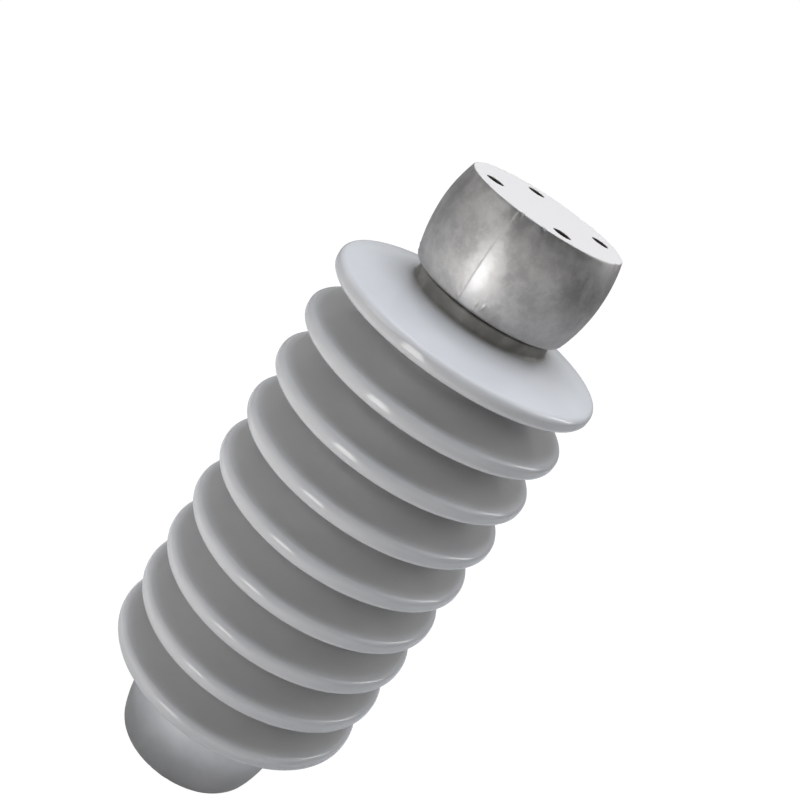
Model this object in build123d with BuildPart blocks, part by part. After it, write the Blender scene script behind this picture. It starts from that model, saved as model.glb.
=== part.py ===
"""Cemented station-post insulator: a one-piece porcelain body with sheds, and an iron cap on each end.

Millimetres, +Z up. The origin is the centre of the bottom cap's mounting face, and the axis is Z.
The bottom end's pieces are drawn first, and the top end's pieces are the same ones mirrored.
"""

import os

from build123d import *

INCH = 25.4

# Overall size and mounting faces
overall_height = 18 * INCH
bolt_circle_radius = 3 * INCH / 2
bolt_count = 4
tap_drill_radius = 27 / 64 * INCH / 2
tap_mouth_radius = 5.8
tap_mouth_angle = 90
tap_depth = 16.0
drill_point_height = 3.2

# Iron cap, a barrel with heights measured from its mounting face
cap_height = 63.2
cap_face_radius = 52.5
cap_belly_radius = 57.25
cap_belly_height = 31.7
cap_mouth_outer_radius = 51.8
cap_face_edge_round = 1.2
cap_mouth_edge_round = 2.4

# Cavity of the cap, with two keying grooves and a ridge between them
cavity_floor = 22.0
cavity_floor_radius = 46.5
lower_groove = (30.0, 39.0)
ridge = (41.5, 43.5)
upper_groove = (46.0, 52.0)
groove_radius = 49.8
ridge_radius = 48.2
lip_start = 57.0
lip_radius = 47.0
lip_chamfer = 0.8

# Layers between the iron and the porcelain
seal_height = 3.0
seal_recess = 1.0
seal_hollow = 0.8
bitumen = 0.5
grit = 1.0
cushion_thickness = 3.0
cushion_radius = 39.0
seal_bottom = cap_height - seal_recess - seal_height
seal_top = cap_height - seal_recess
cushion_bottom = cavity_floor + bitumen

# Porcelain body: a plain cylinder inside each cap, then a shoulder out to the core
core_radius = 47.0
end_radius = 41.5
end_chamfer = 2.0
end_bottom = cushion_bottom + cushion_thickness
band_bottom = end_bottom + end_chamfer
shoulder_start = cap_height - 0.4
shoulder_end = cap_height + 2.0
shoulder_round = 1.2

# Sheds, with heights measured from the middle of the rim
shed_count = 9
shed_pitch = 36.5
top_shed_below_face = 89.5
shed_radius = 92.25
rim_top = 5.3
rim_bottom = -5.5
rim_top_round = 4.6
rim_bottom_round = 5.0
top_root = 15.9
under_root = -1.5
neck_root_round = 3.0
top_root_round = 6.0
under_root_round = 6.5

top_shed_z = overall_height - top_shed_below_face
shed_heights = [top_shed_z - index * shed_pitch for index in range(shed_count)]
mounting_plane = Plane(origin=(0, 0, 0), x_dir=(1, 0, 0), z_dir=(0, 0, -1))
middle_plane = Plane.XY.offset(overall_height / 2)


def corners(section, *places):
    """The corners of a sketch that are nearest to those places."""
    return [section.vertices().sort_by_distance(place)[0] for place in places]


def cavity_wall(lining):
    """The cap's cavity from its floor to the seal, drawn in by the thickness of a lining."""
    return [
        (cavity_floor_radius - lining, cavity_floor + lining),
        (groove_radius - lining, lower_groove[0]),
        (groove_radius - lining, lower_groove[1]),
        (ridge_radius - lining, ridge[0]),
        (ridge_radius - lining, ridge[1]),
        (groove_radius - lining, upper_groove[0]),
        (groove_radius - lining, upper_groove[1]),
        (lip_radius - lining, lip_start),
        (lip_radius - lining, seal_bottom),
    ]


# One shed, whose outline starts and ends inside the core
with BuildSketch() as shed:
    with BuildLine():
        Polyline(
            (end_radius, top_root),
            (core_radius, top_root),
            (shed_radius, rim_top),
            (shed_radius, rim_bottom),
            (shed_radius - rim_bottom_round, rim_bottom),
            (core_radius, under_root),
            (end_radius, under_root),
            close=True,
        )
    make_face()
    fillet(corners(shed, (shed_radius, rim_top)), rim_top_round)
    fillet(corners(shed, (shed_radius, rim_bottom)), rim_bottom_round)

# Porcelain body: one fired piece
bottom_end_outline = [
    (core_radius, shoulder_end),
    (end_radius, shoulder_start),
    (end_radius, band_bottom),
    (end_radius - end_chamfer, end_bottom),
    (0, end_bottom),
]
top_end_outline = [(radius, overall_height - z) for radius, z in reversed(bottom_end_outline)]
with BuildPart() as porcelain_body:
    with BuildSketch(Plane.XZ) as body_section:
        with BuildLine():
            Polyline(*bottom_end_outline, *top_end_outline, close=True)
        make_face()
        with Locations(*[(0, z) for z in shed_heights]):
            add(shed.sketch)
        top_roots = [(core_radius, z + top_root) for z in shed_heights[1:]]
        under_roots = [(core_radius, z + under_root) for z in shed_heights]
        shoulders = [bottom_end_outline[0], top_end_outline[-1]]
        fillet(corners(body_section, *top_roots), top_root_round)
        fillet(corners(body_section, *under_roots), under_root_round)
        fillet(corners(body_section, (core_radius, top_shed_z + top_root)), neck_root_round)
        fillet(corners(body_section, *shoulders), shoulder_round)
    revolve(axis=Axis.Z)

# Iron cap: a barrel-shaped cup with blind tapped holes in its thick end plate
with BuildPart() as cap:
    with BuildSketch(Plane.XZ) as cap_section:
        with BuildLine():
            ThreePointArc(
                (cap_face_radius, 0),
                (cap_belly_radius, cap_belly_height),
                (cap_mouth_outer_radius, cap_height),
            )
            Polyline(
                (cap_mouth_outer_radius, cap_height),
                (lip_radius + lip_chamfer, cap_height),
                (lip_radius, cap_height - lip_chamfer),
                *reversed(cavity_wall(0)),
                (0, cavity_floor),
                (0, 0),
                (cap_face_radius, 0),
            )
        make_face()
        fillet(corners(cap_section, (cap_face_radius, 0)), cap_face_edge_round)
        fillet(corners(cap_section, (cap_mouth_outer_radius, cap_height)), cap_mouth_edge_round)
    revolve(axis=Axis.Z)
    with Locations(mounting_plane):
        with PolarLocations(bolt_circle_radius, bolt_count):
            CounterSinkHole(tap_drill_radius, tap_mouth_radius, tap_depth, tap_mouth_angle)
    with Locations(mounting_plane.offset(-tap_depth)):
        with PolarLocations(bolt_circle_radius, bolt_count):
            Cone(
                0,
                tap_drill_radius,
                drill_point_height,
                align=(Align.CENTER, Align.CENTER, Align.MAX),
                mode=Mode.SUBTRACT,
            )

# Joint seal: a ring with a hollow face, just inside the cap's mouth
with BuildPart() as joint_seal:
    with BuildSketch(Plane.XZ):
        with BuildLine():
            ThreePointArc(
                (end_radius, seal_top),
                ((end_radius + lip_radius) / 2, seal_top - seal_hollow),
                (lip_radius, seal_top),
            )
            Polyline(
                (lip_radius, seal_top),
                (lip_radius, seal_bottom),
                (end_radius, seal_bottom),
                (end_radius, seal_top),
            )
        make_face()
    revolve(axis=Axis.Z)

# Bitumen lining on the floor and the wall of the cap's cavity
with BuildPart() as cap_bitumen_lining:
    with BuildSketch(Plane.XZ):
        with BuildLine():
            Polyline(
                (0, cavity_floor),
                *cavity_wall(0),
                *reversed(cavity_wall(bitumen)),
                (0, cavity_floor + bitumen),
                close=True,
            )
        make_face()
    revolve(axis=Axis.Z)

# Cork cushion: the disc between the porcelain's end and the cap's plate
with BuildPart() as cork_cushion:
    with BuildSketch(Plane.XY.offset(cushion_bottom)):
        Circle(cushion_radius)
    extrude(amount=cushion_thickness)

# Grit band: porcelain grit fired on the body's end, so that the cement can grip it
with BuildPart() as grit_band:
    with BuildSketch(Plane.XY.offset(band_bottom)):
        Circle(end_radius + grit)
        Circle(end_radius, mode=Mode.SUBTRACT)
    extrude(amount=seal_bottom - band_bottom)

# Bitumen coat over the grit band
with BuildPart() as porcelain_bitumen_coat:
    with BuildSketch(Plane.XY.offset(band_bottom)):
        Circle(end_radius + grit + bitumen)
        Circle(end_radius + grit, mode=Mode.SUBTRACT)
    extrude(amount=seal_bottom - band_bottom)

# Cement: fills the cavity between the two bitumen coats
with BuildPart() as cement:
    with BuildSketch(Plane.XZ):
        with BuildLine():
            Polyline(
                (cushion_radius, cushion_bottom),
                *cavity_wall(bitumen),
                (end_radius + grit + bitumen, seal_bottom),
                (end_radius + grit + bitumen, band_bottom),
                (end_radius, band_bottom),
                (end_radius - end_chamfer, end_bottom),
                (cushion_radius, end_bottom),
                close=True,
            )
        make_face()
    revolve(axis=Axis.Z)

end_pieces = {
    "cap": cap,
    "joint_seal": joint_seal,
    "cap_bitumen_lining": cap_bitumen_lining,
    "cork_cushion": cork_cushion,
    "grit_band": grit_band,
    "porcelain_bitumen_coat": porcelain_bitumen_coat,
    "cement": cement,
}

os.makedirs("parts", exist_ok=True)
porcelain_body.part.label = "porcelain_body"
export_step(porcelain_body.part, "parts/porcelain_body.step")
for name, piece in end_pieces.items():
    with BuildPart() as top_piece:
        mirror(piece.part, about=middle_plane)
    piece.part.label = f"bottom_{name}"
    top_piece.part.label = f"top_{name}"
    export_step(piece.part, f"parts/bottom_{name}.step")
    export_step(top_piece.part, f"parts/top_{name}.step")
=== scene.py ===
"""The look of a porcelain station-post insulator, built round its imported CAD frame.

Blender's units are metres. Outlines here are in millimetres, as (radius, height), and MM turns
them into metres.
"""

import math

import bmesh
import bpy
from mathutils import Matrix, Vector, geometry, noise


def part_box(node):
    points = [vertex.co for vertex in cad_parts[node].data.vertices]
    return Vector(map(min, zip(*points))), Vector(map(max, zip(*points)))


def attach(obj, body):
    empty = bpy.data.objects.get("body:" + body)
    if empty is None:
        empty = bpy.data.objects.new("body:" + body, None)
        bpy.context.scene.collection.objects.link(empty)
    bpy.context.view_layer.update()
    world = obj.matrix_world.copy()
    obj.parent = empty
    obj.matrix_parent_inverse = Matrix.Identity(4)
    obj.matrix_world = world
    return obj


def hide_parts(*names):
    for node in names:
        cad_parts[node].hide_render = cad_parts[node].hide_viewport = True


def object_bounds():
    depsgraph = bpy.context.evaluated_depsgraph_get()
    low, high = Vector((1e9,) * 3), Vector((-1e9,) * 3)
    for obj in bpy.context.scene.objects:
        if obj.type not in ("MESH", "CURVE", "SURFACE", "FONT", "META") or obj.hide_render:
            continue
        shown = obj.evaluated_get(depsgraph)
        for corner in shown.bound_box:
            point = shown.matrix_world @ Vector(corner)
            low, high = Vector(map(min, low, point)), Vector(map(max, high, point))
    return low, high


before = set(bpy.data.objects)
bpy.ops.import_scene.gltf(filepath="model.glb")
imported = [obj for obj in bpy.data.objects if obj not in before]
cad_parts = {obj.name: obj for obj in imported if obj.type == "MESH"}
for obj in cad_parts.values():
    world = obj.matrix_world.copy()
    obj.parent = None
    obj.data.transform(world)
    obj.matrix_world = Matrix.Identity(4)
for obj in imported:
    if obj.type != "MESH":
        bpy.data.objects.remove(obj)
cad_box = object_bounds()

MM = 0.001
overall_height = cad_box[1].z / MM
cap_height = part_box("bottom_cap")[1].z / MM
body_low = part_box("porcelain_body")[0].z / MM

# Porcelain body
core_radius = 47.0
end_radius = 41.5
end_chamfer = 2.0
end_round = 0.6
shoulder_start = cap_height - 0.4
shoulder_end = cap_height + 2.0
shoulder_foot_round = 1.0
shoulder_round = 1.2
body_segments = 160

# Sheds, with heights measured from the middle of the rim
shed_radius = 92.2
shed_count = 9
shed_pitch = 36.5
top_shed_height = overall_height - 89.5
shed_heights = [top_shed_height - index * shed_pitch for index in range(shed_count)]
rim_top = 5.3
rim_bottom = -5.9
rim_top_round = 4.6
rim_bottom_round = 5.0
top_root = 15.9
under_root = -1.5
top_root_round = 6.0
neck_root_round = 3.0
under_root_round = 6.5

# Firing: how far it lifts a rim or pulls it in, at most, and how finely that varies round the rim.
# The last number is how fast the warp changes from one height to the next.
rim_lift = 0.25
rim_lift_fineness = 1.4
rim_pull = 0.1
rim_pull_fineness = 2.1
warp_change = 0.045

# Painted shade on each neck beside a cap: none at the first radius and height past the mouth, and
# full at the second
neck_shade_radii = (51.0, 49.0)
neck_shade_heights = (11.4, 9.8)

# Iron caps, with depths measured from the mounting face
cap_face_radius = 52.5
cap_belly_radius = 57.25
cap_belly_depth = 31.7
cap_mouth_radius = 51.8
face_ring_width = 2.0
face_edge_round = 1.2
mouth_edge_round = 2.4
cavity_floor = 22.0
cavity_floor_radius = 46.5
cavity_floor_round = 1.2
groove_radius = 49.8
lower_groove = (30.0, 39.0)
upper_groove = (46.0, 52.0)
groove_round = 1.0
ridge_radius = 48.2
ridge = (41.5, 43.5)
ridge_round = 0.6
lip_radius = 47.0
lip_start = 57.0
lip_start_round = 1.0
lip_chamfer = 0.8
lip_round = 0.3
bolt_circle_radius = 38.1
bolt_count = 4

# Angles round a cap: even ones, and finer ones towards the camera, in degrees from the front. No
# even angle is within the clearance of the middle of the finer ones.
cap_segments = 240
fine_start = -24
fine_step = 0.4
fine_count = 91
fine_clearance = 18.6

# Cast surface, which lies beyond this radius and short of this depth. Each kind of unevenness has
# its fineness and its height, and dross sets in between its two depths.
cast_radius = cap_face_radius - 3
cast_depth = cap_height - 0.5
cast_swell = (0.035, 0.25)
cast_lumps = (0.16, 0.06)
cast_grain = (0.6, 0.02)
dross_fineness = 0.4
dross_patches = (0.25, 0.75)
dross_depths = (46, 60)
dross_height = 0.45

# The two lines where the mould's halves met, in degrees from the front. Each is a groove, which is
# shallower further from the face, and a small step that the wall slopes in to over a length.
parting_angles = (-15.6, 164.4)
parting_groove_depth = 0.12
parting_groove_width = 0.9
parting_groove_loss = 0.8
parting_groove_loss_depths = (4, 30)
parting_step_height = 0.15
parting_step_length = 9
parting_step_edge = 0.7

# Painted highlight on the zinc: a brighter streak beside the front parting line, which widens
# towards the mouth
highlight_top_width = 6
highlight_added_width = 12
highlight_raggedness = 5
highlight_widening_depths = (20, 60)
highlight_depths = (16, 42)
highlight_sides = (-0.6, 0.8)

# Nicks in the edge of a cap's face: degrees from the front, width and depth
nicks = [(-12.4, 0.9, 0.9), (4.0, 1.2, 0.9), (71.0, 1.6, 0.6), (158.0, 2.2, 0.6)]

# Worn stretch of that edge, in degrees from the front: its two ends, each from none to full
worn_from = (-12.5, -10.5)
worn_until = (-2.5, -5.0)
worn_depth = 0.75
worn_edge_width = 1.7

# 1/2-13 UNC tapped holes. The thread's crest and flanks are given as shares of its pitch, and it
# comes in and dies out between the depths in each pair.
thread_pitch = 25.4 / 13
thread_minor = 5.358
thread_major = 6.35
thread_crest = 0.25
thread_flanks = 0.625
thread_start = (0.2, 1.4)
thread_end = (12.0, 14.0)
hole_mouth = 6.1
hole_depth = 16.0
hole_tip = 19.2
hole_segments = 60
rings_per_turn = 14

# Points on a cap's flat face: a grid of equal triangles, clear of the holes and the edge
grid_spacing = 3.0
grid_row_share = 0.866
grid_hole_clearance = 1.5
grid_edge_clearance = 3.5

# Depths over which the look of the flat face ends, and that of a hole's wall starts
face_look_depths = (0.1, 0.4)
bore_look_depths = (0.1, 0.5)

# Camera
camera_azimuth = -20.2
camera_distance = 692.2 * MM
camera_height = 569.6 * MM
camera_tilt = 20.805
camera_pan = -0.867
camera_roll = 34.1
camera_field = 37.84
sensor_width = 36

# Polar angle of the side of the object that faces the camera
front = math.radians(camera_azimuth - 90)


# Outlines and turned meshes


def rounded(corners, step, arc_step):
    """Points along an outline of (radius, height, rounding) corners, with its corners rounded."""
    points = []
    last = len(corners) - 1
    for index, (x, y, rounding) in enumerate(corners):
        here = Vector((x, y))
        if index in (0, last) or rounding == 0:
            stretch = [here]
        else:
            back = (Vector(corners[index - 1][:2]) - here).normalized()
            ahead = (Vector(corners[index + 1][:2]) - here).normalized()
            half = back.angle(ahead) / 2
            centre = here + (back + ahead).normalized() * rounding / math.sin(half)
            start = here + back * rounding / math.tan(half) - centre
            end = here + ahead * rounding / math.tan(half) - centre
            sweep = start.angle_signed(end)
            count = max(2, math.ceil(abs(sweep) * rounding / arc_step))
            turns = [Matrix.Rotation(-sweep * k / count, 2) for k in range(count + 1)]
            stretch = [centre + turn @ start for turn in turns]
        if points:
            gap = (stretch[0] - points[-1]).length
            pieces = math.ceil(gap / step)
            points += [points[-1].lerp(stretch[0], k / pieces) for k in range(1, pieces)]
        points += stretch
    return [(p.x, p.y) for p in points]


def arc_through(start, middle, end, step):
    """Points along the arc through three points, both ends included."""
    a, b, c = Vector(start), Vector(middle), Vector(end)
    centre, radius = circle_of(a, b, c)
    first = math.atan2(a.y - centre.y, a.x - centre.x)
    last = math.atan2(c.y - centre.y, c.x - centre.x)
    count = math.ceil(abs(last - first) * radius / step)
    angles = [first + (last - first) * k / count for k in range(count + 1)]
    return [(centre.x + radius * math.cos(t), centre.y + radius * math.sin(t)) for t in angles]


def circle_of(a, b, c):
    """Centre and radius of the circle through three points."""
    d = 2 * (a.x * (b.y - c.y) + b.x * (c.y - a.y) + c.x * (a.y - b.y))
    x = (a.dot(a) * (b.y - c.y) + b.dot(b) * (c.y - a.y) + c.dot(c) * (a.y - b.y)) / d
    y = (a.dot(a) * (c.x - b.x) + b.dot(b) * (a.x - c.x) + c.dot(c) * (b.x - a.x)) / d
    centre = Vector((x, y))
    return centre, (a - centre).length


def circle_angles(count):
    """Even angles round a full circle, from 0."""
    return [2 * math.pi * k / count for k in range(count)]


def band(lower, upper, count):
    """Quads between two closed rings of points, given by the index of each ring's first point."""
    steps = [(k, (k + 1) % count) for k in range(count)]
    return [(lower + k, lower + n, upper + n, upper + k) for k, n in steps]


def fan(ring, tip, count):
    """Triangles from a closed ring of points to one point."""
    return [(ring + k, ring + (k + 1) % count, tip) for k in range(count)]


def make_object(name, points, faces, sharp_angle):
    """A closed, smooth-shaded mesh object from points in millimetres."""
    mesh = bpy.data.meshes.new(name)
    mesh.from_pydata([Vector(p) * MM for p in points], [], faces)
    mesh.validate()
    turned = bmesh.new()
    turned.from_mesh(mesh)
    bmesh.ops.recalc_face_normals(turned, faces=turned.faces)
    turned.to_mesh(mesh)
    turned.free()
    mesh.shade_smooth()
    mesh.set_sharp_from_angle(angle=math.radians(sharp_angle))
    piece = bpy.data.objects.new(name, mesh)
    bpy.context.scene.collection.objects.link(piece)
    return piece


def add_attribute(piece, name, values):
    """A number for each vertex, which the piece's material reads."""
    layer = piece.data.attributes.new(name, "FLOAT", "POINT")
    layer.data.foreach_set("value", values)


def smooth(none, full, x):
    """0 at none and before it, 1 at full and past it, and soft between. Either may be larger."""
    t = min(1.0, max(0.0, (x - none) / (full - none)))
    return t * t * (3 - 2 * t)


def bump_at(distance, width):
    """1 at no distance, falling softly to 0 in about twice that width."""
    return math.exp(-((distance / width) ** 2))


def angle_between(a, b):
    """Signed difference of two angles, between -pi and pi."""
    return (a - b + math.pi) % (2 * math.pi) - math.pi


def arc_from(degrees, angle, radius):
    """Distance round a circle to this angle, from that many degrees past the front."""
    return angle_between(angle, front + math.radians(degrees)) * radius


# Porcelain body


def body_outline():
    """The body's half section, from its bottom end to its top end."""
    end = [
        (core_radius, shoulder_end, shoulder_round),
        (end_radius, shoulder_start, shoulder_foot_round),
        (end_radius, body_low + end_chamfer, end_round),
        (end_radius - end_chamfer, body_low, end_round),
        (0, body_low, 0),
    ]
    corners = [*reversed(end)]
    for z in reversed(shed_heights):
        root_round = neck_root_round if z == top_shed_height else top_root_round
        corners += [
            (core_radius, z + under_root, under_root_round),
            (shed_radius, z + rim_bottom, rim_bottom_round),
            (shed_radius, z + rim_top, rim_top_round),
            (core_radius, z + top_root, root_round),
        ]
    corners += [(r, overall_height - z, rounding) for r, z, rounding in end]
    return rounded(corners, step=4.2, arc_step=0.95)


def as_fired(radius, z, angle):
    """Where a turned point ends up after drying and firing: sheds wave and sag a little."""
    reach = smooth(core_radius, shed_radius, radius)
    around = Vector((math.cos(angle), math.sin(angle), z * warp_change))
    lift = noise.noise(around * rim_lift_fineness + Vector((7, 3, 1)))
    pull = 0.5 + 0.5 * noise.noise(around * rim_pull_fineness + Vector((1, 9, 4)))
    return radius - rim_pull * reach * pull, z + rim_lift * reach * lift


def neck_shade_at(x, y, z):
    """How much painted shade darkens the porcelain: only on the neck beside each cap, in its
    shade.
    """
    past_mouth = min(z, overall_height - z) - cap_height
    return smooth(*neck_shade_radii, math.hypot(x, y)) * smooth(*neck_shade_heights, past_mouth)


def make_body():
    """The porcelain body, turned from its outline and slightly warped by firing."""
    outline = body_outline()
    points = [(0, 0, outline[0][1])]
    for radius, z in outline[1:-1]:
        for angle in circle_angles(body_segments):
            r, lifted = as_fired(radius, z, angle)
            points.append((r * math.cos(angle), r * math.sin(angle), lifted))
    points.append((0, 0, outline[-1][1]))
    rings = [1 + k * body_segments for k in range(len(outline) - 2)]
    faces = fan(rings[0], 0, body_segments) + fan(rings[-1], len(points) - 1, body_segments)
    for lower, upper in zip(rings, rings[1:]):
        faces += band(lower, upper, body_segments)
    piece = make_object("glazed_porcelain_body", points, faces, sharp_angle=60)
    # Painted shade on each neck beside a cap, for the glaze to darken
    add_attribute(piece, "neck_shade", [neck_shade_at(x, y, z) for x, y, z in points])
    return piece


# Iron caps


def cap_outline():
    """The cap's half section: from just inside the edge of its face, down the barrel and round
    the mouth, to the middle of the cavity's floor."""
    barrel = arc_through(
        (cap_face_radius, 0),
        (cap_belly_radius, cap_belly_depth),
        (cap_mouth_radius, cap_height),
        step=1.25,
    )
    clear_of_rounding = barrel[3:-4]
    corners = [
        (cap_face_radius - face_ring_width, 0, 0),
        (*barrel[0], face_edge_round),
        *[(r, depth, 0) for r, depth in clear_of_rounding],
        (*barrel[-1], mouth_edge_round),
        (lip_radius + lip_chamfer, cap_height, lip_round),
        (lip_radius, cap_height - lip_chamfer, lip_round),
        (lip_radius, lip_start, lip_start_round),
        (groove_radius, upper_groove[1], groove_round),
        (groove_radius, upper_groove[0], groove_round),
        (ridge_radius, ridge[1], ridge_round),
        (ridge_radius, ridge[0], ridge_round),
        (groove_radius, lower_groove[1], groove_round),
        (groove_radius, lower_groove[0], groove_round),
        (cavity_floor_radius, cavity_floor, cavity_floor_round),
        (0, cavity_floor, 0),
    ]
    return rounded(corners, step=2.5, arc_step=0.5)


def unevenness(spot, fineness, height):
    """One kind of unevenness of a cast surface, at this place."""
    return noise.noise(spot * fineness) * height


def as_cast(radius, depth, angle, seed, rough):
    """The radius that a point of the cap ends up at: sand-cast unevenness on the outside and in
    the cavity's grooves, dross near the mouth, and the fettled parting lines."""
    if radius <= cast_radius or depth >= cast_depth:
        return radius
    spot = Vector((radius * math.cos(angle), radius * math.sin(angle), depth + seed * 100))
    swell = unevenness(spot, *cast_swell)
    lumps = unevenness(spot, *cast_lumps) * rough
    grain = unevenness(spot, *cast_grain) * rough
    patches = smooth(*dross_patches, noise.noise(spot * dross_fineness))
    dross = patches * smooth(*dross_depths, depth) * dross_height * rough
    inset = 0
    for parting in parting_angles:
        arc = arc_from(parting, angle, radius)
        fade = 1.0 - parting_groove_loss * smooth(*parting_groove_loss_depths, depth)
        groove = parting_groove_depth * bump_at(arc, parting_groove_width)
        slope = smooth(-parting_step_length, -parting_step_edge, arc)
        step = parting_step_height * slope * smooth(parting_step_edge, -parting_step_edge, arc)
        inset += groove * fade * rough
        inset += step * rough
    return radius + (swell + lumps + grain + dross - inset)


def painted_highlight_at(radius, depth, angle):
    """How much brighter the zinc is painted beside the front parting line, as a highlight streak.
    """
    arc = arc_from(parting_angles[0], angle, radius)
    ragged = noise.noise(Vector((arc * 0.1, depth * 0.25, 5))) * highlight_raggedness
    width = highlight_top_width + highlight_added_width * smooth(*highlight_widening_depths, depth) + ragged
    across = smooth(*highlight_sides, arc) * smooth(width, width * 0.2, arc)
    return across * smooth(*highlight_depths, depth)


def edge_loss(radius, depth, angle, rough):
    """How far the edge of the face is knocked back here: a few nicks and one worn stretch."""
    loss = 0
    for degrees, width, size in nicks:
        loss += size * bump_at(arc_from(degrees, angle, cap_face_radius), width)
    from_front = math.degrees(angle_between(angle, front))
    worn = smooth(*worn_from, from_front) * smooth(*worn_until, from_front)
    crumble = 0.5 + noise.noise(Vector((math.cos(angle), math.sin(angle), 0)) * 40)
    loss += worn_depth * worn * crumble
    from_edge = math.hypot(radius - cap_face_radius, depth)
    return rough * loss * bump_at(from_edge, worn_edge_width)


def thread_radius(turn, depth):
    """Radius of the tapped hole's wall. turn is the angle round the hole, in whole turns."""
    phase = (depth / thread_pitch - turn) % 1
    height = min(1.0, max(0.0, (abs(phase - 0.5) * 2 - thread_crest) / thread_flanks))
    reach = smooth(*thread_start, depth) * (1 - smooth(*thread_end, depth))
    wall = thread_minor + (thread_major - thread_minor) * height * reach
    countersink = hole_mouth - depth
    return max(wall, countersink)


def hole_rings():
    """The rings of one tapped hole, from its mouth to the foot of the drill's cone."""
    count = round(hole_depth / (thread_pitch / rings_per_turn))
    depths = [hole_depth * k / count for k in range(count + 1)]
    turns = [i / hole_segments for i in range(hole_segments)]
    return [[(thread_radius(turn, depth), depth) for turn in turns] for depth in depths]


def face_triangles(points, edge_count, hole_centres):
    """Triangles over flat points inside the edge, whose points come first. No triangle closes
    a hole."""
    flat = [Vector(p) for p in points]
    inside_edge = 1
    edge = [list(range(edge_count))]
    found = geometry.delaunay_2d_cdt(flat, [], edge, inside_edge, 1e-5)
    places, triangles, sources = found[0], found[2], found[3]
    kept = []
    for triangle in triangles:
        middle = sum((places[i] for i in triangle), Vector((0, 0))) / 3
        if all((middle - centre).length > hole_mouth for centre in hole_centres):
            kept.append([sources[i][0] for i in triangle])
    return kept


def face_grid(hole_centres):
    """Points spread over the cap's flat face, clear of its edge and its holes."""
    rows = int(cap_face_radius / grid_spacing)
    hole_reach = hole_mouth + grid_hole_clearance
    grid = []
    for row in range(-rows, rows + 1):
        for column in range(-rows, rows + 1):
            x = (column + 0.5 * (row % 2)) * grid_spacing
            y = row * grid_spacing * grid_row_share
            spot = Vector((x, y))
            clear = all((spot - centre).length > hole_reach for centre in hole_centres)
            if clear and spot.length < cap_face_radius - grid_edge_clearance:
                grid.append((x, y))
    return grid


def cap_angles():
    """Angles round the cap, closer together where its edge is nicked towards the camera."""
    fine = [front + math.radians(fine_start + fine_step * k) for k in range(fine_count)]
    middle = fine[fine_count // 2]
    gap = math.radians(fine_clearance)
    coarse = [a for a in circle_angles(cap_segments) if abs(angle_between(a, middle)) > gap]
    return sorted(a % (2 * math.pi) for a in coarse + fine)


def make_cap(name, seed, rough, flipped):
    """One cap with its four threaded holes. flipped puts its face at the top."""
    outline = cap_outline()
    angles = cap_angles()
    count = len(angles)
    points, faces = [], []
    looks = {"face": [], "bore": [], "painted_highlight": []}

    def add(x, y, depth, bore=0.0, painted_highlight=0.0):
        """One point, with what its look depends on."""
        points.append((x, y, overall_height - depth if flipped else depth))
        looks["face"].append(1.0 - smooth(*face_look_depths, depth))
        looks["bore"].append(bore)
        looks["painted_highlight"].append(painted_highlight)

    for radius, depth in outline[:-1]:
        for angle in angles:
            loss = edge_loss(radius, depth, angle, rough)
            each_way = loss * 0.7
            r = as_cast(radius, depth, angle, seed, rough) - each_way
            # Painted highlight: a brighter streak on the zinc beside the front parting line
            painted_highlight = rough * painted_highlight_at(radius, depth, angle)
            add(r * math.cos(angle), r * math.sin(angle), depth + each_way, painted_highlight=painted_highlight)
    rings = [k * count for k in range(len(outline) - 1)]
    for first, second in zip(rings, rings[1:]):
        faces += band(first, second, count)
    add(0, 0, outline[-1][1])
    faces += fan(rings[-1], len(points) - 1, count)

    face_points = list(range(count))
    bolt_angles = circle_angles(bolt_count)
    centres = [Vector((math.cos(a), math.sin(a))) * bolt_circle_radius for a in bolt_angles]
    for centre in centres:
        first = len(points)
        hole_points = hole_rings()
        for ring in hole_points:
            for turn, (radius, depth) in zip(circle_angles(hole_segments), ring):
                x = centre.x + radius * math.cos(turn)
                y = centre.y + radius * math.sin(turn)
                add(x, y, depth, smooth(*bore_look_depths, depth))
        starts = [first + k * hole_segments for k in range(len(hole_points))]
        for upper, lower in zip(starts, starts[1:]):
            faces += band(upper, lower, hole_segments)
        add(centre.x, centre.y, hole_tip, 1.0)
        faces += fan(starts[-1], len(points) - 1, hole_segments)
        face_points += range(first, first + hole_segments)

    for x, y in face_grid(centres):
        face_points.append(len(points))
        add(x, y, 0.0)
    flat = [points[i][:2] for i in face_points]
    faces += [[face_points[i] for i in t] for t in face_triangles(flat, count, centres)]

    piece = make_object(name, points, faces, sharp_angle=38)
    for look, values in looks.items():
        add_attribute(piece, look, values)
    return piece


# Materials


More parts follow.
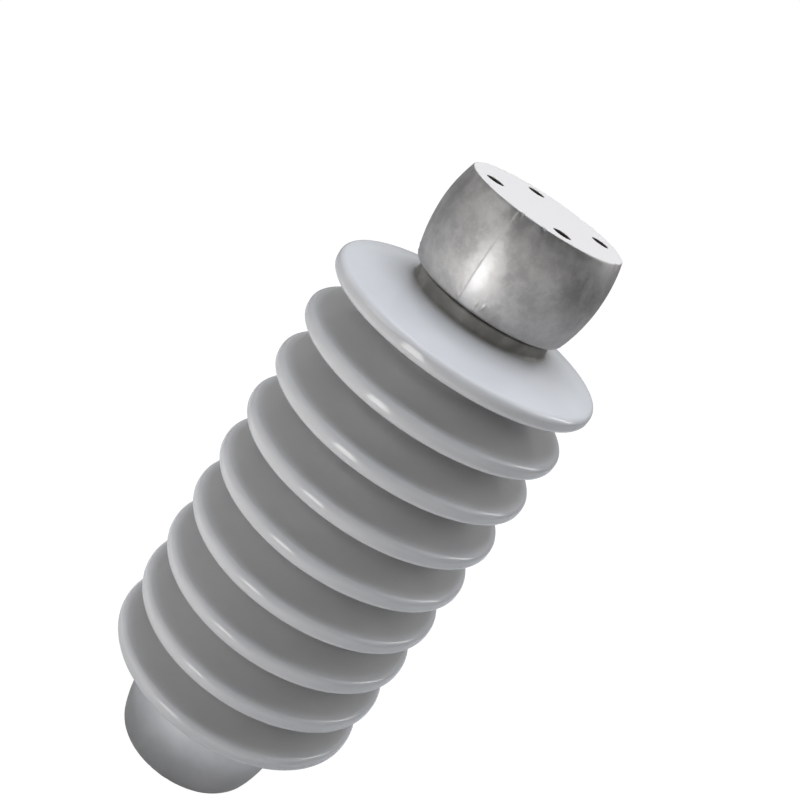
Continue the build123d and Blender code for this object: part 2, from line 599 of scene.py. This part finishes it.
class Nodes:
    """A material's node tree, with one short call for each kind of node."""

    def __init__(self, name):
        self.material = bpy.data.materials.new(name)
        self.material.use_nodes = True
        self.tree = self.material.node_tree
        self.shader = self.tree.nodes["Principled BSDF"]
        self.place = self.node("ShaderNodeTexCoord").outputs["Object"]

    def node(self, kind, **settings):
        """A new node with these settings."""
        made = self.tree.nodes.new(kind)
        for key, value in settings.items():
            setattr(made, key, value)
        return made

    def feed(self, socket, value):
        """Links an output to the socket, or sets the socket to a plain value."""
        if isinstance(value, bpy.types.NodeSocket):
            self.tree.links.new(value, socket)
        else:
            socket.default_value = value

    def set(self, **values):
        """Sets or links the shader's sockets, as Base_Color=... for Base Color."""
        for key, value in values.items():
            self.feed(self.shader.inputs[key.replace("_", " ")], value)

    def stretched(self, x, y, z):
        """The piece's own coordinates, scaled along each axis."""
        mapping = self.node("ShaderNodeMapping")
        self.feed(mapping.inputs["Vector"], self.place)
        mapping.inputs["Scale"].default_value = (x, y, z)
        return mapping.outputs["Vector"]

    def noise(self, size, detail=3.0, rough=0.5, distortion=0.0, vector=None):
        """Soft noise whose features are about that many millimetres across."""
        made = self.node("ShaderNodeTexNoise")
        self.feed(made.inputs["Vector"], vector or self.place)
        made.inputs["Scale"].default_value = 1 / (size * MM)
        made.inputs["Detail"].default_value = detail
        made.inputs["Roughness"].default_value = rough
        made.inputs["Distortion"].default_value = distortion
        return made.outputs["Fac"]

    def cells(self, size, feature="F1"):
        """Distance to the nearest of scattered points, about that many millimetres apart."""
        made = self.node("ShaderNodeTexVoronoi", feature=feature)
        self.feed(made.inputs["Vector"], self.place)
        made.inputs["Scale"].default_value = 1 / (size * MM)
        return made.outputs["Distance"]

    def span(self, value, low, high, to_low=0.0, to_high=1.0):
        """A value carried from one range to another, and kept inside it."""
        made = self.node("ShaderNodeMapRange", interpolation_type="SMOOTHSTEP")
        self.feed(made.inputs["Value"], value)
        for key, number in zip(
            ("From Min", "From Max", "To Min", "To Max"), (low, high, to_low, to_high)
        ):
            self.feed(made.inputs[key], number)
        return made.outputs["Result"]

    def maths(self, operation, a, b):
        """One operation on two values."""
        made = self.node("ShaderNodeMath", operation=operation)
        self.feed(made.inputs[0], a)
        self.feed(made.inputs[1], b)
        return made.outputs[0]

    def mix(self, factor, a, b):
        """Two colours mixed by a factor."""
        made = self.node("ShaderNodeMix", data_type="RGBA")
        self.feed(made.inputs["Factor"], factor)
        for socket, value in zip([s for s in made.inputs if s.type == "RGBA"], (a, b)):
            self.feed(socket, value)
        return next(s for s in made.outputs if s.type == "RGBA")

    def attribute(self, name):
        """The number that add_attribute left on each vertex."""
        made = self.node("ShaderNodeAttribute", attribute_name=name)
        return made.outputs["Fac"]

    def bump(self, height, depth, under=None):
        """A normal from a height of 0 to 1, that many millimetres deep, over another normal."""
        made = self.node("ShaderNodeBump")
        made.inputs["Distance"].default_value = depth * MM
        self.feed(made.inputs["Height"], height)
        if under:
            self.feed(made.inputs["Normal"], under)
        return made.outputs["Normal"]


def rgb(red, green, blue):
    """A linear colour, with the alpha that a colour socket needs."""
    return (red, green, blue, 1)


def grey(value, warm=0.0):
    """A linear grey, a little warmer or, below zero, a little cooler."""
    return rgb(value * (1 + warm), value, value * (1 - warm))


def make_glaze():
    """Light grey glaze: glossy and even, with faint clouds, a few pinhead specks and a slight
    orange peel. The necks have a dull, dark brown-grey painted shade beside the caps."""
    m = Nodes("grey_glaze")
    speck_brown = rgb(0.16, 0.14, 0.11)
    neck_shade_dark, neck_shade_pale = rgb(0.17, 0.165, 0.15), rgb(0.3, 0.292, 0.27)
    clouds = m.noise(45, detail=2)
    colour = m.mix(m.span(clouds, 0.3, 0.7), grey(0.53), grey(0.555, 0.004))
    dots, patches = m.cells(5), m.noise(16)
    specks = m.maths("MULTIPLY", m.span(dots, 0.09, 0.05), m.span(patches, 0.56, 0.66))
    colour = m.mix(m.maths("MULTIPLY", specks, 0.4), colour, speck_brown)
    # Painted shade on the necks beside the caps: blotchy dark brown-grey, and duller than the
    # glaze
    neck_shade = m.attribute("neck_shade")
    neck_shade_colour = m.mix(m.span(m.noise(14), 0.35, 0.65), neck_shade_dark, neck_shade_pale)
    gloss = m.span(m.noise(20), 0.3, 0.7, 0.1, 0.14)
    peel = m.bump(m.noise(2.4, detail=1), 0.004)
    m.set(
        Base_Color=m.mix(neck_shade, colour, neck_shade_colour),
        Roughness=m.span(neck_shade, 0, 1, gloss, 0.42),
        IOR=1.5,
        Normal=m.bump(m.noise(16, detail=1), 0.02, under=peel),
    )
    return m.material


def make_zinc(name, base, warm, mottling):
    """Hot-dip galvanised iron: softly clouded satin zinc, a brighter streak painted on as a
    highlight where its attribute says, a pale flat face, and hole walls painted near black as
    shade."""
    m = Nodes(name)
    frost, highlight_tone, face_tone = grey(0.62), grey(0.58), grey(0.61, 0.055)
    # Painted shade inside the tapped holes: their walls turn near black past the mouth
    hole_shade = rgb(0.03, 0.026, 0.02)
    clouds = m.noise(17, detail=5, rough=0.55, distortion=0.4)
    wisps = m.noise(5, detail=3, rough=0.5)
    middle = 0.5 - 0.5 * mottling
    pale = m.span(m.mix(0.3, clouds, wisps), 0.36, 0.66, middle, 1.0 - middle)
    colour = m.mix(pale, grey(base, warm), grey(base * 1.4, warm))
    grain = m.noise(2.2, detail=4, rough=0.6)
    colour = m.mix(m.span(grain, 0.5, 0.75, 0, 0.22 * mottling), colour, frost)
    painted_highlight, face, bore = m.attribute("painted_highlight"), m.attribute("face"), m.attribute("bore")
    # Painted highlight: the streak beside the front parting line is mixed towards brighter zinc
    colour = m.mix(m.maths("MULTIPLY", painted_highlight, 0.45), colour, highlight_tone)
    colour = m.mix(face, colour, face_tone)
    colour = m.mix(bore, colour, hole_shade)
    plain = m.maths("MAXIMUM", face, bore)
    m.set(
        Base_Color=colour,
        Metallic=m.span(plain, 0, 1, 0.8, 0.05),
        Roughness=m.span(plain, 0, 1, m.span(pale, 0, 1, 0.4, 0.48), 0.6),
        Normal=m.bump(m.maths("MULTIPLY", pale, m.maths("SUBTRACT", 1.0, plain)), 0.03),
    )
    return m.material


def make_cement():
    """Portland cement mortar: pale grey-brown, sandy, with small voids."""
    m = Nodes("cement")
    sand = m.noise(0.8, detail=4, rough=0.7)
    damp = m.span(m.noise(12, detail=3), 0.35, 0.65)
    colour = m.mix(damp, rgb(0.36, 0.345, 0.31), rgb(0.47, 0.455, 0.42))
    voids = m.span(m.cells(5), 0.05, 0.16)
    grain = m.bump(sand, 0.25)
    m.set(
        Base_Color=m.mix(m.span(sand, 0.55, 0.75, 0, 0.6), colour, rgb(0.24, 0.23, 0.21)),
        Roughness=m.span(sand, 0.3, 0.7, 0.82, 0.95),
        Normal=m.bump(voids, 0.5, under=grain),
    )
    return m.material


def make_bitumen():
    """Brushed bitumen: near black, with brush streaks and a dull shine."""
    m = Nodes("bitumen")
    streaks = m.noise(2.5, detail=4, rough=0.6, vector=m.stretched(1, 1, 0.15))
    shade = m.span(streaks, 0.3, 0.7)
    m.set(
        Base_Color=m.mix(shade, rgb(0.014, 0.012, 0.011), rgb(0.035, 0.03, 0.026)),
        Roughness=m.span(streaks, 0.3, 0.7, 0.32, 0.6),
        Normal=m.bump(streaks, 0.15),
    )
    return m.material


def make_cork():
    """Pressed cork: warm brown granules with dark joints."""
    m = Nodes("cork")
    granule_size = 2.6
    granules = m.cells(granule_size)
    joints = m.span(m.cells(granule_size, feature="DISTANCE_TO_EDGE"), 0.0, 0.12)
    colour = m.mix(m.span(granules, 0.1, 0.7), rgb(0.42, 0.25, 0.12), rgb(0.26, 0.14, 0.06))
    colour = m.mix(m.span(m.noise(7), 0.4, 0.65, 0, 0.5), colour, rgb(0.5, 0.33, 0.18))
    m.set(
        Base_Color=m.mix(joints, rgb(0.08, 0.04, 0.02), colour),
        Roughness=m.span(granules, 0, 0.8, 0.75, 0.92),
        Normal=m.bump(joints, 0.3),
    )
    return m.material


def make_grit():
    """Crushed porcelain grit fired on: coarse pale grains."""
    m = Nodes("grit")
    grains = m.cells(1.7)
    tone = m.noise(1.9, detail=2)
    colour = m.mix(m.span(tone, 0.35, 0.65), rgb(0.40, 0.37, 0.32), rgb(0.66, 0.63, 0.57))
    m.set(
        Base_Color=m.mix(m.span(grains, 0.45, 0.8), colour, rgb(0.2, 0.17, 0.14)),
        Roughness=m.span(tone, 0.3, 0.7, 0.55, 0.85),
        Normal=m.bump(grains, -0.6),
    )
    return m.material


def make_seal():
    """The joint's sealing compound: dark, slightly shiny and uneven."""
    m = Nodes("joint_seal")
    smear = m.noise(5, detail=4, rough=0.6)
    shade = m.span(smear, 0.35, 0.65)
    m.set(
        Base_Color=m.mix(shade, rgb(0.03, 0.027, 0.024), rgb(0.075, 0.068, 0.06)),
        Roughness=m.span(smear, 0.3, 0.7, 0.35, 0.6),
        Normal=m.bump(smear, 0.3),
    )
    return m.material


def camera_ray(tree):
    """1 for what the camera sees directly, and 0 for light that falls on the object or is
    mirrored in it."""
    return tree.nodes.new("ShaderNodeLightPath").outputs["Is Camera Ray"]


def make_floor_material():
    """Plain pale floor, which the camera sees almost white, with the softest shadow on it."""
    m = Nodes("studio_floor")
    tone = m.mix(m.span(m.noise(600, detail=2), 0.3, 0.7), grey(0.64), grey(0.67))
    m.set(Base_Color=tone, Roughness=0.9)
    glow = m.node("ShaderNodeEmission")
    glow.inputs["Strength"].default_value = floor_whiteness
    blend = m.node("ShaderNodeMixShader")
    m.feed(blend.inputs["Fac"], m.maths("MULTIPLY", camera_ray(m.tree), floor_white_share))
    m.feed(blend.inputs[1], m.shader.outputs[0])
    m.feed(blend.inputs[2], glow.outputs[0])
    m.feed(m.tree.nodes["Material Output"].inputs["Surface"], blend.outputs[0])
    return m.material


# Pieces


def put_on(piece, material):
    """Gives a piece its only material."""
    piece.data.materials.append(material)


body = make_body()
put_on(body, make_glaze())
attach(body, "root")
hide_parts("porcelain_body")

# Each cap's noise seed, roughness, whether its face is at the top, and its zinc's tone and warmth.
# The bottom one is smoother. Both are the same zinc: the bottom one's lighter, cooler tone is
# painted light and a painted cool reflection.
caps = {
    "top": (1, 1.0, True, 0.33, 0.025),
    "bottom": (2, 0.2, False, 0.5, -0.005),
}
for end, (seed, rough, flipped, base, warm) in caps.items():
    cap = make_cap(f"{end}_galvanised_cap", seed, rough, flipped)
    put_on(cap, make_zinc(f"{end}_galvanised_iron", base, warm, rough))
    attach(cap, "root")
    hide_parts(f"{end}_cap")

bitumen = make_bitumen()
inner_materials = {
    "joint_seal": make_seal(),
    "cap_bitumen_lining": bitumen,
    "cork_cushion": make_cork(),
    "grit_band": make_grit(),
    "cement": make_cement(),
    "porcelain_bitumen_coat": bitumen,
}
for end in caps:
    for name, material in inner_materials.items():
        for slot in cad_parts[f"{end}_{name}"].material_slots:
            slot.material = material


# Studio

aim_height = 0.25
floor_radius = 4.0
floor_segments = 96
floor_whiteness = 1.08
floor_white_share = 0.92
room_brightness = 0.02
glow_brightness = 0.44
glow_elevation = 40
glow_edge = 0.1
warm_white = (1.0, 0.975, 0.94)
cool_white = (0.85, 0.9, 1.0)
neutral_white = (1.0, 1.0, 1.0)
floor_card_azimuth = -45
floor_card_height = 0.005
low_card_slant = 40

# Each panel's azimuth and elevation in degrees, distance, width and height in metres, brightness
# and tint. Azimuths are counted from the camera's, to the right. The overhead panel is just off
# the vertical, so that its sides still have a direction.
panels = {
    "overhead": (0, 89.9, 1.9, 1.1, 1.1, 8.4, cool_white),
    "overhead_back": (180, 70, 1.9, 1.4, 0.9, 1.0, cool_white),
    "overhead_left": (-90, 65, 1.9, 1.0, 1.2, 0.6, cool_white),
    "front_window": (-8, 27, 1.6, 1.3, 0.6, 2.1, neutral_white),
    "left_front": (-60, 14, 1.5, 0.9, 0.9, 1.3, neutral_white),
    "left_side": (-100, 12, 1.5, 0.9, 0.9, 0.47, neutral_white),
    "right_side": (105, 42, 1.6, 0.9, 0.8, 0.9, neutral_white),
    "right_strip": (118, 28, 1.4, 0.2, 0.7, 4.0, neutral_white),
    "floor_card": (floor_card_azimuth, 0, 0.62, 1.3, 0.85, 0.8, warm_white),
    "low_card": (-23, -3, 0.88, 0.25, 0.62, 5.8, neutral_white),
    "fill_card": (35, 4, 1.5, 1.8, 0.8, 0.7, neutral_white),
}
never_mirrored = ("overhead", "front_window")
only_mirrored = ("low_card", "fill_card")


def make_floor():
    """The floor, a wide disc under the object."""
    bpy.ops.mesh.primitive_circle_add(
        vertices=floor_segments, radius=floor_radius, fill_type="NGON"
    )
    floor = bpy.context.object
    floor.name = "studio_floor"
    put_on(floor, make_floor_material())


def add_panel(name, azimuth, elevation, distance, width, height, brightness, tint):
    """A soft panel aimed at the insulator's middle."""
    data = bpy.data.lights.new(name, "AREA")
    data.shape = "RECTANGLE"
    data.size = width
    data.size_y = height
    data.energy = brightness * math.pi * width * height
    data.color = tint
    light = bpy.data.objects.new(name, data)
    bpy.context.scene.collection.objects.link(light)
    angle = front + math.radians(azimuth)
    rise = math.radians(elevation)
    flat = distance * math.cos(rise)
    height_above_floor = aim_height + distance * math.sin(rise)
    light.location = (flat * math.cos(angle), flat * math.sin(angle), height_above_floor)
    aim = Vector((0, 0, aim_height)) - light.location
    light.rotation_euler = aim.to_track_quat("-Z", "Y").to_euler()
    light.visible_camera = False
    return light


def light_studio():
    """All the panels. The floor card lies flat and lights the sheds from below, and the low card
    is slanted, and mirrored as a short highlight on each rim."""
    lights = {name: add_panel(name, *settings) for name, settings in panels.items()}
    for name in never_mirrored:
        lights[name].visible_glossy = False
    for name in only_mirrored:
        lights[name].visible_diffuse = False
    turn = front + math.radians(floor_card_azimuth) + math.pi / 2
    lights["floor_card"].location.z = floor_card_height
    lights["floor_card"].rotation_euler = (math.pi, 0, turn)
    lights["low_card"].rotation_euler.rotate_axis("X", math.radians(low_card_slant))


def make_world():
    """White for the camera. For everything else a dim room, with a soft glow high up behind the
    insulator."""
    world = bpy.data.worlds.new("studio")
    world.use_nodes = True
    tree = world.node_tree
    background = tree.nodes["Background"]
    background.inputs["Color"].default_value = rgb(1, 1, 1)
    direction = tree.nodes.new("ShaderNodeTexCoord").outputs["Generated"]
    towards = tree.nodes.new("ShaderNodeVectorMath")
    towards.operation = "DOT_PRODUCT"
    tree.links.new(direction, towards.inputs[0])
    rise = math.radians(glow_elevation)
    towards.inputs[1].default_value = (
        -math.cos(front) * math.cos(rise),
        -math.sin(front) * math.cos(rise),
        math.sin(rise),
    )
    glow = tree.nodes.new("ShaderNodeMapRange")
    glow.interpolation_type = "SMOOTHSTEP"
    tree.links.new(towards.outputs["Value"], glow.inputs["Value"])
    glow.inputs["From Min"].default_value = glow_edge
    glow.inputs["To Min"].default_value = room_brightness
    glow.inputs["To Max"].default_value = glow_brightness
    strength = tree.nodes.new("ShaderNodeMapRange")
    tree.links.new(camera_ray(tree), strength.inputs["Value"])
    tree.links.new(glow.outputs["Result"], strength.inputs["To Min"])
    strength.inputs["To Max"].default_value = 1.0
    tree.links.new(strength.outputs["Result"], background.inputs["Strength"])
    bpy.context.scene.world = world


def make_camera():
    """The photograph's viewpoint, and its roll about the line of sight."""
    turn = Matrix.Rotation(math.radians(camera_azimuth), 3, "Z")
    tilt, pan, roll = (math.radians(a) for a in (camera_tilt, camera_pan, camera_roll))
    level = math.cos(tilt)
    ahead = turn @ Vector((math.sin(pan) * level, math.cos(pan) * level, -math.sin(tilt)))
    right = turn @ Vector((math.cos(pan), -math.sin(pan), 0))
    up = right.cross(ahead)
    rolled_right = right * math.cos(roll) + up * math.sin(roll)
    rolled_up = up * math.cos(roll) - right * math.sin(roll)
    data = bpy.data.cameras.new("camera")
    data.sensor_width = sensor_width
    data.lens = data.sensor_width / 2 / math.tan(math.radians(camera_field) / 2)
    camera = bpy.data.objects.new("camera", data)
    bpy.context.scene.collection.objects.link(camera)
    place = turn @ Vector((0, -camera_distance, camera_height))
    axes = Matrix((rolled_right, rolled_up, -ahead)).transposed()
    camera.matrix_world = Matrix.Translation(place) @ axes.to_4x4()
    bpy.context.scene.camera = camera


make_floor()
make_world()
light_studio()
make_camera()
bpy.context.scene.view_settings.view_transform = "Standard"
